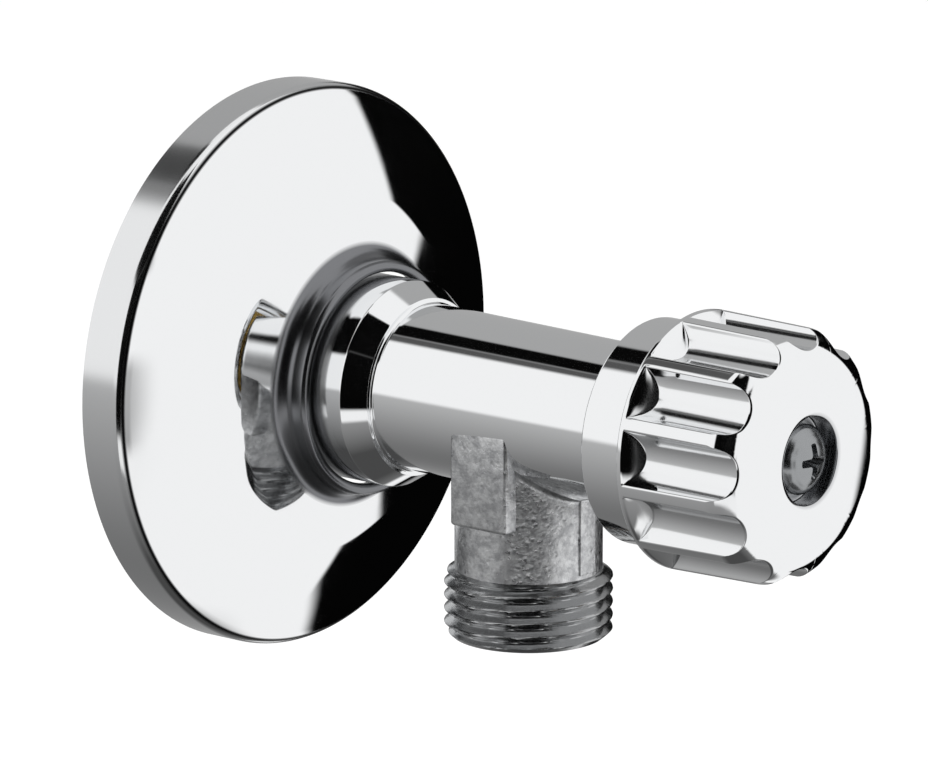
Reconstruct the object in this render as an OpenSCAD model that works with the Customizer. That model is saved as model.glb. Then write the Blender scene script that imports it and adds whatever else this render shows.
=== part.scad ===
// Angle stop valve with wall flange, side outlet and fluted handwheel.
// Origin: centre of the wall flange's back face, on the valve's axis.
// +X runs out of the wall along the valve's axis, +Z is up, the outlet points down.
// Every size is in millimetres.

/* [Wall flange] */
// Outer diameter of the wall flange
flange_d = 57; // [50:0.5:70]
// Height of the flange's straight rim
flange_rim_h = 3.9; // [2.5:0.1:6]
// Radius of the rounded edge between rim and face
flange_edge_r = 1.2; // [1:0.1:1.8]
// Radius of the domed outer zone of the face
flange_dome_r = 107; // [80:1:140]
// Slope of the domed zone at its inner end, in degrees
dome_slope = 23; // [20:0.5:25]
// Slope of the flatter ring inside the domed zone, in degrees
ring_slope = 15; // [12:0.5:18]
// Outer diameter of the flatter ring
ring_d = 33.2; // [32:0.2:35]
// Radius of the bend between the flatter ring and the domed zone
bend_r = 9; // [6:0.5:12]
// Radius of the hollow corner where the ring turns up into the collar
flange_hollow_r = 1.6; // [1.2:0.1:2.2]
// Height of the collar's straight part
collar_h = 0.8; // [0.4:0.1:1.2]
// Sheet thickness of the flange
flange_t = 0.9; // [0.7:0.05:1.1]
// Radial gap between the flange's collar and the body's shoulder
flange_gap = 0.3; // [0.2:0.05:0.8]

/* [Valve body] */
// Major diameter of the inlet thread
inlet_thread_d = 20.955; // [20.7:0.005:21]
// Length of the inlet thread behind the wall plane
inlet_thread_l = 12; // [8:0.5:20]
// Inlet waterway diameter
inlet_bore_d = 11; // [9:0.5:13]
// Diameter of the shoulder that carries the flange
shoulder_d = 20.7; // [20.4:0.1:20.9]
// Distance from the wall to the shoulder's front edge
shoulder_x = 17.6; // [17:0.1:22]
// Length of the cone between shoulder and barrel
cone_l = 2.3; // [1.8:0.1:3]
// Barrel diameter beside the cone
barrel_d = 16.8; // [16.4:0.1:18]
// Barrel diameter at its open end
barrel_end_d = 15.8; // [15.5:0.1:16.3]
// Distance from the wall to the barrel's open end
barrel_end_x = 48.9; // [48:0.1:52]
// Radius of the hollow corner between cone and barrel
barrel_fillet_r = 0.6; // [0.3:0.1:0.9]
// Diameter of the seat hole
seat_hole_d = 8.6; // [7:0.1:9]
// Distance from the wall to the seat's sealing lip
seat_x = 28.8; // [28.4:0.1:30]
// Diameter of the chamber beside the seat
chamber_d = 12; // [11.6:0.1:12.4]

/* [Outlet] */
// Distance from the wall to the outlet's axis
outlet_x = 33.1; // [33:0.1:36]
// Major diameter of the outlet thread
outlet_thread_d = 16.662; // [16.4:0.002:16.8]
// Distance from the valve's axis to the outlet's end
outlet_drop = 22.9; // [20:0.1:30]
// Length of the outlet thread
outlet_thread_l = 6.8; // [5:0.1:9]
// Diameter of the outlet neck above the thread
neck_d = 14.6; // [14:0.1:15]
// Bore that takes the supply tube
tube_bore_d = 10.2; // [9:0.1:10.4]
// Depth of the tube bore
tube_bore_l = 9; // [6:0.5:11]
// Waterway diameter between tube bore and chamber
outlet_way_d = 7.6; // [6:0.1:8]
// Width of the flat raised pad on the neck
pad_w = 7; // [5:0.1:8]
// Top edge of the pad, measured from the valve's axis
pad_top = -1; // [-3:0.1:0]
// Bottom edge of the pad, measured from the valve's axis
pad_bottom = -10.9; // [-13:0.1:-8]
// Distance of the pad's face from the valve's axis
pad_reach = 8.05; // [7.8:0.05:8.4]
// Width of the flat land along the casting's parting plane
land_w = 2.3; // [1.5:0.1:3]

/* [Headwork] */
// Diameter of the headwork's thread in the barrel
head_thread_d = 13; // [12.6:0.1:13.2]
// Size across flats of the headwork's hexagon
head_hex = 17; // [16:0.1:17.2]
// Height of the headwork's hexagon
head_hex_h = 3.1; // [2.6:0.1:3.2]
// Diameter of the headwork's front neck
head_neck_d = 12.4; // [11:0.1:13]
// Spindle journal diameter
spindle_d = 7.8; // [7:0.1:8]
// Radial running clearance of the spindle
spindle_fit = 0.05; // [0.02:0.01:0.1]
// Major diameter of the spindle's driving thread
drive_d = 6.8; // [6:0.1:7]
// Section diameter of the spindle's sealing rings
oring_w = 1.4; // [1.2:0.05:1.5]
// Size across flats of the sliding valve carrier
carrier_hex = 8.4; // [8.2:0.05:8.6]
// Clearance of the carrier on each side of its guide
carrier_fit = 0.1; // [0.06:0.01:0.15]
// Carrier travel from closed to open
travel = 4.5; // [3:0.1:4.6]
// Diameter of the carrier's disc
disc_d = 11; // [10.6:0.1:11.2]
// Diameter of the rubber seat washer
washer_d = 10.6; // [10:0.1:10.8]
// Thickness of the rubber seat washer
washer_t = 2.5; // [2:0.1:2.6]

/* [Handwheel] */
// Diameter over the handwheel's ridges at the rear rim
grip_rear_d = 25.4; // [25:0.1:28]
// Diameter over the ridges at the front
grip_front_d = 25; // [24.6:0.1:27.6]
// Distance from the barrel's end to the grip's rear rim
grip_gap = 4.8; // [4.6:0.1:5.1]
// Outer diameter of the plain skirt
skirt_d = 22.2; // [21.8:0.1:23]
// Wall thickness of the skirt
skirt_t = 0.9; // [0.8:0.05:1]
// How far the skirt reaches back over the barrel's end
skirt_cover = 0.7; // [0.4:0.1:1.6]
// Number of flutes round the grip
flute_n = 12; // [8:1:12]
// Radius of each flute
flute_r = 2.9; // [2.2:0.1:3.2]
// Depth of each flute below the ridges at the rear
flute_depth = 2; // [1.5:0.1:2.4]
// Turn of the flute pattern about the axis, in degrees
flute_turn = 27; // [0:0.5:30]
// Thickness of the full rim behind the flutes
grip_rim_t = 0.6; // [0.5:0.1:0.8]
// Distance from the barrel's end to the middle of the domed front
front_gap = 18.75; // [18.5:0.05:19.6]
// Radius of the domed front
front_dome_r = 70; // [50:1:100]
// Radius of the rounded edge between grip and front
front_edge_r = 3.2; // [2.6:0.1:3.8]
// Diameter of the screw recess
recess_d = 8.7; // [8.2:0.1:9]
// Depth of the screw recess below the front's crown
recess_depth = 2.5; // [2.1:0.1:2.7]
// Width of the recess's bevelled edge
recess_bevel = 0.45; // [0.2:0.05:0.6]
// Diameter of the splined hub insert
insert_d = 10.4; // [10:0.1:10.8]
// Diameter of the screw's head
screw_head_d = 7; // [6.6:0.1:7.4]
// Diameter of the screw's shank
screw_d = 4; // [3.5:0.1:4.2]

/* [Hidden] */
$fn = 96;
eps = 0.01;

// The wall flange's section: the hole clears both the shoulder and the inlet thread
flange_r = flange_d / 2;
flange_hole_r = shoulder_d / 2 + flange_gap;
lip_r = 0.6;
collar_r = flange_hole_r + 2 * lip_r;
hollow_cr = collar_r + flange_hollow_r;
join_r = hollow_cr - flange_hollow_r * sin(ring_slope);
ring_r = ring_d / 2;
bend_cr = ring_r - bend_r * sin(ring_slope);
bend_end_r = bend_cr + bend_r * sin(dome_slope);
dome_cr = bend_end_r - flange_dome_r * sin(dome_slope);
edge_cr = flange_r - flange_edge_r;
edge_cx = flange_rim_h;
dome_cx = edge_cx - sqrt(pow(flange_dome_r - flange_edge_r, 2) - pow(edge_cr - dome_cr, 2));
bend_cx = dome_cx + (flange_dome_r - bend_r) * cos(dome_slope);
ring_x = bend_cx + bend_r * cos(ring_slope);
join_x = ring_x + (ring_r - join_r) * tan(ring_slope);
hollow_cx = join_x + flange_hollow_r * cos(ring_slope);
collar_x = hollow_cx + collar_h;
edge_reach = (edge_cr - dome_cr) / (flange_dome_r - flange_edge_r);

// The body's stations along the axis
relief_x1 = 3.5;
relief_x0 = 2;
relief_d = 18.2;
cone_x = shoulder_x + cone_l;
seat_lip_h = 0.8;
seat_wall_x = seat_x - seat_lip_h;
seat_floor_x = seat_wall_x - 3;
nose_l = 10.4;
nose_x = barrel_end_x - nose_l;
thread_top = outlet_drop - outlet_thread_l;
bore_lead = 1.4;
bore_lead_w = 1.3;
inlet_lead = 1.8;
way_overlap = 1.5;
thread_lead = 1;
outlet_lead = 0.7;
neck_step = 0.5;
shoulder_bevel = 0.3;
relief_bevel = 0.5;
mouth_bevel = 0.4;
land_h = 0.12;

// The headwork's stations follow from the barrel's end
gasket_t = 0.5;
hex_x = barrel_end_x + gasket_t;
neck_x = hex_x + head_hex_h;
neck_end_x = neck_x + 4.5;
collar_bay_x = barrel_end_x - 1.3;
collar_bay_end = collar_bay_x + 2;
collar_x0 = collar_bay_x + 0.3;
collar_t = 1.2;
thrust_t = 0.44;
thrust_gap = 0.03;
spindle_collar_d = 10.1;
collar_bay_d = spindle_collar_d + 0.6;
groove_a = collar_bay_end + 1.9;
groove_b = collar_bay_end + 4.7;
clip_t = 0.5;
clip_x = neck_end_x + 0.2;
spline_x = clip_x + clip_t + 0.2;
spline_end = spline_x + 6.3;
spline_d = 6.8;
screw_hole_l = 7.5;
stem_x = seat_x + washer_t + 3 + travel + 0.4;

// The carrier's stations at rest, with the washer on the seat
washer_gap = 0.02;
washer_x = seat_x + washer_gap;
washer_hole_d = 2.8;
cup_depth = 1;
disc_x = washer_x + washer_t - cup_depth;
disc_bevel = 0.4;
plate_t = 0.5;
plate_d = 6;
plate_x = washer_x - plate_t;
pin_d = 2.5;
pin_head_d = 4.6;
pin_head_h = 1.2;
pin_slot_w = 0.6;
pin_slot_depth = 0.6;
stop_gap = 0.3;
disc_end = nose_x - travel - stop_gap;
carrier_end = collar_x0 - travel - stop_gap;

// The handwheel's stations
skirt_x = barrel_end_x - skirt_cover;
grip_x = barrel_end_x + grip_gap;
front_x = barrel_end_x + front_gap;
grip_front_r = grip_front_d / 2;
front_cr = grip_front_r - front_edge_r;
dome_centre_x = front_x - front_dome_r;
front_cx = dome_centre_x + sqrt(pow(front_dome_r - front_edge_r, 2) - pow(front_cr, 2));
front_touch = front_cr / (front_dome_r - front_edge_r) * front_dome_r;
front_rim_x = dome_centre_x + sqrt(pow(front_dome_r, 2) - pow(recess_d / 2 + recess_bevel, 2));
flute_x = grip_x + grip_rim_t;
skirt_bay_end = neck_x + 0.5;
flute_wall = 1.7;
flute_floor_r = grip_rear_d / 2 - flute_depth;
core_r = flute_floor_r - flute_wall;
front_wall = 5.25;
bay_end = front_x - front_wall;
hub_wall = 1.5;
insert_x = spline_x + 0.3;
insert_end = bay_end + 2;
recess_x = front_x - recess_depth;
lock_t = 0.5;
head_x = recess_x + lock_t;
head_h = 2.3;
crown_h = 0.75;
cross_w = 0.9;
cross_l = 3.9;
cross_depth = 1.3;

chrome = [0.86, 0.87, 0.88];
brass = [0.78, 0.66, 0.38];
rubber = [0.08, 0.08, 0.08];
plastic = [0.90, 0.90, 0.86];
steel = [0.62, 0.63, 0.65];
fibre = [0.55, 0.20, 0.14];

// Stands a solid that was built along +Z on the valve's axis instead
module on_axis(x = 0) {
  translate([x, 0, 0])
    rotate([0, 90, 0])
      children();
}

// Turns a section about the valve's axis: first coordinate radius, second distance from the wall
module turned() {
  on_axis()
    rotate_extrude($fn = 180)
      children();
}

module rod(x0, x1, d) {
  on_axis(x0)
    cylinder(d = d, h = x1 - x0);
}

module taper(x0, x1, d0, d1) {
  on_axis(x0)
    cylinder(d1 = d0, d2 = d1, h = x1 - x0);
}

module down(z0, z1, d) {
  translate([outlet_x, 0, -z1])
    cylinder(d = d, h = z1 - z0);
}

// Everything under the flange's outer skin; skin = 0 gives the outside, skin = sheet the inside
module flange_region(skin = 0) {
  inner_r = collar_r - skin;
  outer_r = edge_cr + (flange_edge_r - skin) * edge_reach;
  line_r = join_r - skin * sin(ring_slope);
  line_x = join_x - skin * cos(ring_slope);
  difference() {
    intersection() {
      translate([dome_cr, dome_cx])
        circle(r = flange_dome_r - skin, $fn = 720);
      polygon([[inner_r, 0], [inner_r, line_x + (line_r - inner_r) * tan(ring_slope)],
        [outer_r, line_x - (outer_r - line_r) * tan(ring_slope)], [outer_r, 0]]);
    }
    flange_bend(skin);
  }
  translate([edge_cr, edge_cx])
    circle(r = flange_edge_r - skin, $fn = 90);
  translate([flange_hole_r - 1, -1])
    square([flange_r - skin - flange_hole_r + 1, edge_cx + 1]);
  difference() {
    translate([inner_r, 0])
      square([line_r - inner_r, hollow_cx]);
    translate([hollow_cr, hollow_cx])
      circle(r = flange_hollow_r + skin, $fn = 240);
  }
}

// What the soft bend between ring and dome takes off their sharp corner
module flange_bend(skin) {
  start_r = ring_r - skin * sin(ring_slope);
  end_r = bend_end_r - skin * sin(dome_slope);
  difference() {
    translate([start_r, ring_x - bend_r / 2])
      square([end_r - start_r, bend_r]);
    translate([bend_cr, bend_cx])
      circle(r = bend_r - skin, $fn = 360);
  }
}

module wall_flange() {
  color(chrome)
    turned()
      difference() {
        union() {
          difference() {
            flange_region();
            flange_region(flange_t);
          }
          translate([flange_hole_r + lip_r, collar_x])
            circle(r = lip_r, $fn = 60);
          translate([collar_r - flange_t, hollow_cx - eps])
            square([flange_t, collar_h + eps]);
        }
        translate([-1, -5])
          square([flange_r + 5, 5]);
        translate([-1, -1])
          square([flange_hole_r + 1, 60]);
      }
}

// The outside of the casting before its bores are drilled
module body_skin() {
  taper(-inlet_thread_l, -inlet_thread_l + thread_lead, inlet_thread_d - 2 * thread_lead, inlet_thread_d);
  rod(-inlet_thread_l + thread_lead, relief_x0, inlet_thread_d);
  rod(relief_x0 - eps, relief_x1 + eps, relief_d);
  taper(relief_x1, relief_x1 + relief_bevel, shoulder_d - 2 * relief_bevel, shoulder_d);
  rod(relief_x1 + relief_bevel, shoulder_x - shoulder_bevel, shoulder_d);
  turned()
    body_section();
  down(0, thread_top + eps, neck_d);
  translate([outlet_x, 0, -thread_top - neck_step])
    cylinder(d1 = outlet_thread_d, d2 = neck_d, h = neck_step);
  down(thread_top + neck_step - eps, outlet_drop - outlet_lead, outlet_thread_d);
  translate([outlet_x, 0, -outlet_drop])
    cylinder(d1 = outlet_thread_d - 2 * outlet_lead, d2 = outlet_thread_d, h = outlet_lead);
  translate([outlet_x - pad_w / 2, -pad_reach, pad_bottom])
    cube([pad_w, pad_reach - 4, pad_top - pad_bottom]);
  translate([outlet_x, -land_w / 2, -thread_top + 0.4])
    cube([neck_d / 2 + land_h, land_w, thread_top - 4]);
}

// Shoulder edge, cone, hollow corner and barrel in one turned section
module body_section() {
  sr = shoulder_d / 2;
  br = barrel_d / 2;
  er = barrel_end_d / 2;
  difference() {
    union() {
      polygon([[0, shoulder_x - 2 * shoulder_bevel], [sr, shoulder_x - 2 * shoulder_bevel],
        [sr, shoulder_x - shoulder_bevel], [sr - shoulder_bevel, shoulder_x], [br + 0.5, cone_x], [0, cone_x]]);
      square([br + 0.5, cone_x + barrel_fillet_r]);
      polygon([[0, cone_x - 1], [br, cone_x - 1], [br, cone_x + barrel_fillet_r],
        [er, barrel_end_x - mouth_bevel], [er - mouth_bevel, barrel_end_x], [0, barrel_end_x]]);
    }
    translate([br + barrel_fillet_r, cone_x + barrel_fillet_r])
      circle(r = barrel_fillet_r, $fn = 60);
    translate([br + barrel_fillet_r, cone_x])
      square([20, 20]);
    translate([-1, -1])
      square([40, shoulder_x - 0.3]);
  }
}

module valve_body() {
  color(chrome)
    difference() {
      body_skin();
      rod(-inlet_thread_l - 1, seat_floor_x, inlet_bore_d);
      taper(-inlet_thread_l - 1, -inlet_thread_l + inlet_lead - 1, inlet_bore_d + 2 * inlet_lead, inlet_bore_d);
      rod(seat_floor_x - 1, seat_x + 1, seat_hole_d);
      difference() {
        rod(seat_wall_x, nose_x + 1, chamber_d);
        rod(seat_wall_x - 1, seat_x, seat_hole_d + 2);
      }
      rod(nose_x - 0.5, barrel_end_x + 1, head_thread_d);
      down(outlet_drop - tube_bore_l, outlet_drop + 1, tube_bore_d);
      translate([outlet_x, 0, -outlet_drop - eps])
        cylinder(d1 = tube_bore_d + 2 * bore_lead_w, d2 = tube_bore_d, h = bore_lead);
      down(chamber_d / 2 - way_overlap, outlet_drop - tube_bore_l + 1, outlet_way_d);
    }
}

// A hexagonal bar along the axis, measured across its flats, with a flat at the top
module hex_bar(x0, x1, af) {
  on_axis(x0)
    cylinder(d = af / cos(30), h = x1 - x0, $fn = 6);
}

module bonnet() {
  color(brass)
    difference() {
      union() {
        taper(nose_x, nose_x + 0.5, head_thread_d - 1.1, head_thread_d - 0.1);
        rod(nose_x + 0.5 - eps, hex_x + eps, head_thread_d - 0.1);
        intersection() {
          hex_bar(hex_x, neck_x, head_hex);
          union() {
            rod(hex_x, neck_x - 0.8, head_hex / cos(30) + 1);
            taper(neck_x - 0.8 - eps, neck_x, head_hex / cos(30) + 0.2, head_hex - 0.6);
          }
        }
        rod(neck_x - eps, neck_end_x - 0.4, head_neck_d);
        taper(neck_end_x - 0.4 - eps, neck_end_x, head_neck_d, head_neck_d - 0.8);
      }
      hex_bar(nose_x - 1, collar_bay_x + eps, carrier_hex + 2 * carrier_fit);
      rod(collar_bay_x, collar_bay_end, collar_bay_d);
      rod(collar_bay_end - 1, neck_end_x + 1, spindle_d + 2 * spindle_fit);
    }
}

module bonnet_gasket() {
  color(fibre)
    difference() {
      rod(barrel_end_x, hex_x, barrel_end_d - 0.4);
      rod(barrel_end_x - 1, hex_x + 1, head_thread_d + 0.1);
    }
}

// The ring groove's floor is as deep as the ring is wide, less a little squeeze
module spindle() {
  floor_d = spindle_d - 2 * oring_w + 0.1;
  color(brass)
    difference() {
      union() {
        taper(stem_x, stem_x + 0.5, drive_d - 1, drive_d);
        rod(stem_x + 0.5 - eps, collar_x0 + eps, drive_d);
        rod(collar_x0, collar_x0 + collar_t, spindle_collar_d);
        rod(collar_x0 + collar_t - eps, spline_x, spindle_d);
        rod(spline_x - eps, spline_end, spline_d);
      }
      for (gx = [groove_a, groove_b]) {
        difference() {
          rod(gx - 0.1, gx + oring_w + 0.1, spindle_d + 1);
          rod(gx - 0.2, gx + oring_w + 0.2, floor_d);
        }
      }
      difference() {
        rod(clip_x - 0.02, clip_x + clip_t + 0.02, spindle_d + 1);
        rod(clip_x - 0.1, clip_x + clip_t + 0.1, spindle_d - 1.2);
      }
      for (a = [0 : 20 : 340]) {
        rotate([a, 0, 0])
          translate([spline_x + 0.5, 0, spline_d / 2 + 0.1])
            rotate([45, 0, 0])
              translate([0, -0.45, -0.45])
                cube([spline_end, 0.9, 0.9]);
      }
      rod(spline_end - screw_hole_l, spline_end + 1, screw_d + 0.02);
    }
}

module spindle_orings() {
  color(rubber)
    for (gx = [groove_a, groove_b]) {
      turned()
        translate([spindle_d / 2 - oring_w / 2 + 0.02, gx + oring_w / 2])
          circle(d = oring_w - 0.04, $fn = 48);
    }
}

module thrust_washer() {
  color(plastic)
    difference() {
      rod(collar_x0 + collar_t + thrust_gap, collar_x0 + collar_t + thrust_gap + thrust_t, spindle_collar_d);
      rod(collar_x0, collar_bay_end + 1, spindle_d + 0.06);
    }
}

// An open C clip that snaps into the groove in front of the headwork's neck
module spindle_clip() {
  color(steel)
    difference() {
      rod(clip_x, clip_x + clip_t, spindle_d + 1.8);
      rod(clip_x - 1, clip_x + clip_t + 1, spindle_d - 1.1);
      translate([clip_x - 1, -2.4, -spindle_d])
        cube([clip_t + 2, 4.8, spindle_d]);
    }
}

module valve_carrier() {
  color(brass)
    difference() {
      union() {
        rod(disc_x, disc_end - disc_bevel, disc_d);
        taper(disc_end - disc_bevel - eps, disc_end, disc_d, disc_d - 2 * disc_bevel);
        hex_bar(disc_end - eps, carrier_end, carrier_hex);
      }
      rod(disc_x - 1, washer_x + washer_t, washer_d + 0.04);
      rod(stem_x - travel - 0.3, carrier_end + 1, drive_d + 0.12);
      rod(disc_x, stem_x - travel - 1.2, pin_d + 0.02);
    }
}

module seat_washer() {
  color(rubber)
    difference() {
      rod(washer_x, washer_x + washer_t, washer_d);
      rod(washer_x - 1, washer_x + washer_t + 1, washer_hole_d);
    }
}

module washer_plate() {
  color(brass)
    difference() {
      rod(plate_x, washer_x, plate_d);
      rod(plate_x - 1, washer_x + 1, washer_hole_d);
    }
}

module washer_screw() {
  tip = stem_x - travel - 1.6;
  color(brass)
    difference() {
      union() {
        rod(plate_x - pin_head_h, plate_x, pin_head_d);
        rod(plate_x - eps, tip, pin_d);
      }
      translate([plate_x - pin_head_h - 0.5, -pin_slot_w / 2, -pin_head_d])
        cube([pin_slot_depth + 0.5, pin_slot_w, 2 * pin_head_d]);
    }
}

// Skirt, grip and domed front in one turned section
module wheel_section() {
  rr = grip_rear_d / 2;
  sr = skirt_d / 2;
  polygon([[0, skirt_x], [sr - 0.25, skirt_x], [sr, skirt_x + 0.25], [sr, grip_x + 0.2], [0, grip_x + 0.2]]);
  polygon([[0, grip_x], [rr - 0.2, grip_x], [rr, grip_x + 0.2], [grip_front_r, front_cx], [0, front_cx]]);
  translate([front_cr, front_cx])
    circle(r = front_edge_r, $fn = 90);
  intersection() {
    translate([0, dome_centre_x])
      circle(r = front_dome_r, $fn = 360);
    translate([0, front_cx - 1])
      square([front_touch, 20]);
  }
}

// The flutes are straight round-bottomed grooves that run out through the rounded front edge
module flutes() {
  for (i = [0 : flute_n - 1]) {
    rotate([flute_turn + i * 360 / flute_n, 0, 0])
      translate([0, -flute_floor_r - flute_r, 0])
        rod(flute_x, front_x + 3, 2 * flute_r);
  }
}

module handwheel() {
  color(chrome)
    difference() {
      turned()
        wheel_section();
      flutes();
      rod(skirt_x - 1, skirt_bay_end, skirt_d - 2 * skirt_t);
      difference() {
        rod(skirt_bay_end - 1, bay_end, 2 * core_r);
        rod(insert_x - 0.6, bay_end + 1, insert_d + 2 * hub_wall);
      }
      rod(insert_x - 1, insert_end, insert_d);
      rod(insert_end - 1, front_x + 1, screw_d + 0.6);
      rod(recess_x, front_x + 1, recess_d);
      taper(front_rim_x - recess_bevel, front_rim_x + 0.3, recess_d, recess_d + 2 * recess_bevel + 0.6);
    }
}

module handwheel_insert() {
  color(plastic)
    difference() {
      rod(insert_x, insert_end - 0.02, insert_d - 0.04);
      rod(insert_x - 1, spline_end + 0.1, spline_d + 0.04);
      rod(spline_end - 1, insert_end + 1, screw_d + 0.6);
    }
}

module lock_washer() {
  color(steel)
    difference() {
      rod(recess_x, recess_x + lock_t, screw_head_d + 0.6);
      rod(recess_x - 1, recess_x + lock_t + 1, screw_d + 0.3);
    }
}

// Domed pan head with a cross recess
module handwheel_screw() {
  hr = screw_head_d / 2;
  ball = (hr * hr + crown_h * crown_h) / (2 * crown_h);
  color(steel)
    difference() {
      union() {
        turned()
          intersection() {
            translate([0, head_x + head_h - ball])
              circle(r = ball, $fn = 180);
            translate([0, head_x])
              square([hr - 0.05, head_h + 1]);
          }
        rod(spline_end - screw_hole_l + 1, head_x + eps, screw_d - 0.02);
      }
      for (a = [0, 90]) {
        rotate([a, 0, 0])
          translate([head_x + head_h - cross_depth, -cross_w / 2, -cross_l / 2])
            cube([cross_depth + 1, cross_w, cross_l]);
      }
    }
}

wall_flange();
valve_body();
bonnet();
bonnet_gasket();
spindle();
spindle_orings();
thrust_washer();
spindle_clip();
valve_carrier();
seat_washer();
washer_plate();
washer_screw();
handwheel();
handwheel_insert();
lock_washer();
handwheel_screw();
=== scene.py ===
"""Dresses an angle stop valve: wall flange, cast and turned body, fluted handwheel, screw and headwork."""

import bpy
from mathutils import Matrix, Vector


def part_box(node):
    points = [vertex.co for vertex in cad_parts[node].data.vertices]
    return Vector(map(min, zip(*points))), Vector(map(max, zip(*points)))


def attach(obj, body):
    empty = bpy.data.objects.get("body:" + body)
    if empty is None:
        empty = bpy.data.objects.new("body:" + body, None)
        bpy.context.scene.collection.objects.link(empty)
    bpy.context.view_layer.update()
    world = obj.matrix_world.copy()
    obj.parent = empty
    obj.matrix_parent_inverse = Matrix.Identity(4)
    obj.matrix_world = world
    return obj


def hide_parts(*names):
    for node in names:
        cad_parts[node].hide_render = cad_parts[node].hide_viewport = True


bl_info = {
    "name": "Angle Stop Valve",
    "version": (1, 0, 0),
    "blender": (4, 5, 0),
    "location": "View3D > Sidebar > Valve",
    "description": "Wall flange, threaded body, fluted handwheel, screw and headwork of an angle stop valve",
    "category": "Object",
}

import math

import bmesh
import bpy
import numpy as np
from bpy.props import FloatProperty, FloatVectorProperty, IntProperty, PointerProperty
from mathutils import Vector

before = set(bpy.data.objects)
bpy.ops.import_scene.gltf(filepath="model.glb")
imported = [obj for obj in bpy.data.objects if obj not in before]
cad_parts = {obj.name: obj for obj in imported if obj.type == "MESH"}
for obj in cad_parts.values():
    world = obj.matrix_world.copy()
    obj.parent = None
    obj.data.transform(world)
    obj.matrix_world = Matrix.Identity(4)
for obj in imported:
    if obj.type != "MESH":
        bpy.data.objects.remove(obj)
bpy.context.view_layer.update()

MM = 0.001
FLANGE_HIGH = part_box("wall_flange")[1]
BODY_LOW, BODY_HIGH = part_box("valve_body")
WHEEL_LOW, WHEEL_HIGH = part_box("handwheel")
INSERT_LOW, INSERT_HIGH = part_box("handwheel_insert")
WASHER_LOW, WASHER_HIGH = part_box("lock_washer")
SCREW_LOW, SCREW_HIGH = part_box("handwheel_screw")

# Columns round every turned surface
TURN_STEPS = 180

# Material slots of the body: turned and polished, left as cast, thread cut
TURNED, CAST, CUT = range(3)

# The inlet thread's end, as a distance from the wall, and how far the threads reach in below their roots
INLET_THREAD_END = 2 * MM
THREAD_BACK = 0.3 * MM

# What the properties that hold lengths and angles share
LENGTH = {"unit": "LENGTH", "subtype": "DISTANCE"}
ANGLE = {"unit": "ROTATION", "subtype": "ANGLE"}

# What stands round the valve in the studio, seen only by reflections. Each outline is in degrees: the turn
# of its middle from -Y towards +X, half its width, its lower and upper edge, and how soft its edges are.
STUDIO_WHITE = (0.98, 0.98, 0.98, 1)
TABLE = (-35, 117, -200, -3, 5)
TABLE_FOOT = (-50, -56)  # Between these heights the table closes below the valve, all round
TABLE_SHADE = (-70, -5, 0.07, 0.47)  # Two heights, and the table's shade at each
STUDIO_CARDS = {
    "grey wall behind": ("#ABABAB", (-150, 44, -4, 62, 6)),
    "gap between the lamps": ("#080808", (-92, 14, 46, 75, 7)),
    "edge of the left lamp": ("#555555", (-73, 6, 46, 70, 6)),
    "dark side round the camera": ("#060606", (36, 36, -21, 36, 5)),
    "dark side, upper right end": ("#060606", (76, 10, 15, 42, 5)),
    "dark ceiling over the camera": ("#060606", (16, 54, 34, 76, 5)),
    "white gap over the table": ("#FAFAFA", (45, 40, -33, -21, 5)),
    "black card on the right": ("#040404", (184.5, 25.5, -43, 22, 2.5)),
}
LAMP_PLACE = (0.1, -0.7, 0.8)
LAMP_AIM = (0.03, 0, 0)
LAMP_SIZE = 0.6
LAMP_WATTS = 2.2

# Zones of the plating that stay satin, some also darkened as painted shade: radii, distances from the wall and
# softness of the zone's ends in mm, roughness and shade. The flange's second zone is a thin painted dark
# reflection where its rounded edge meets the face. The flange's third zone, on the collar, and the body's zone,
# on the shoulder, are satin and darkened as painted dark reflections; the wheel's second zone is satin and
# darkened as painted shade in the screw recess.
FLANGE_ZONES = [
    # The rim stays satin; the second zone is a thin painted dark reflection along the rounded edge
    (28.35, 90, -90, 90, 0.25, 0.16, "#E4E5E6"), (27.86, 28.17, 2, 90, 0.08, 0.3, "#1E1E1F"),
    # The collar and the hollow at its foot: satin, and darkened as a painted dark reflection
    (-1, 13.2, -90, 90, 0.25, 0.24, "#7E7F82")]
# The shoulder: satin, and darkened a little as a painted dark reflection
BODY_ZONES = [(9.6, 90, -90, 15.6, 0.25, 0.22, "#C4C5C6")]
# The flutes stay satin; the screw recess is satin and darkened as painted shade
WHEEL_ZONES = [(-1, 11.8, 54, 66.1, 0.25, 0.13, "#F1F2F3"), (-1, 4.5, 60, 90, 0.25, 0.2, "#B9BABC")]


# Sizes

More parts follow.
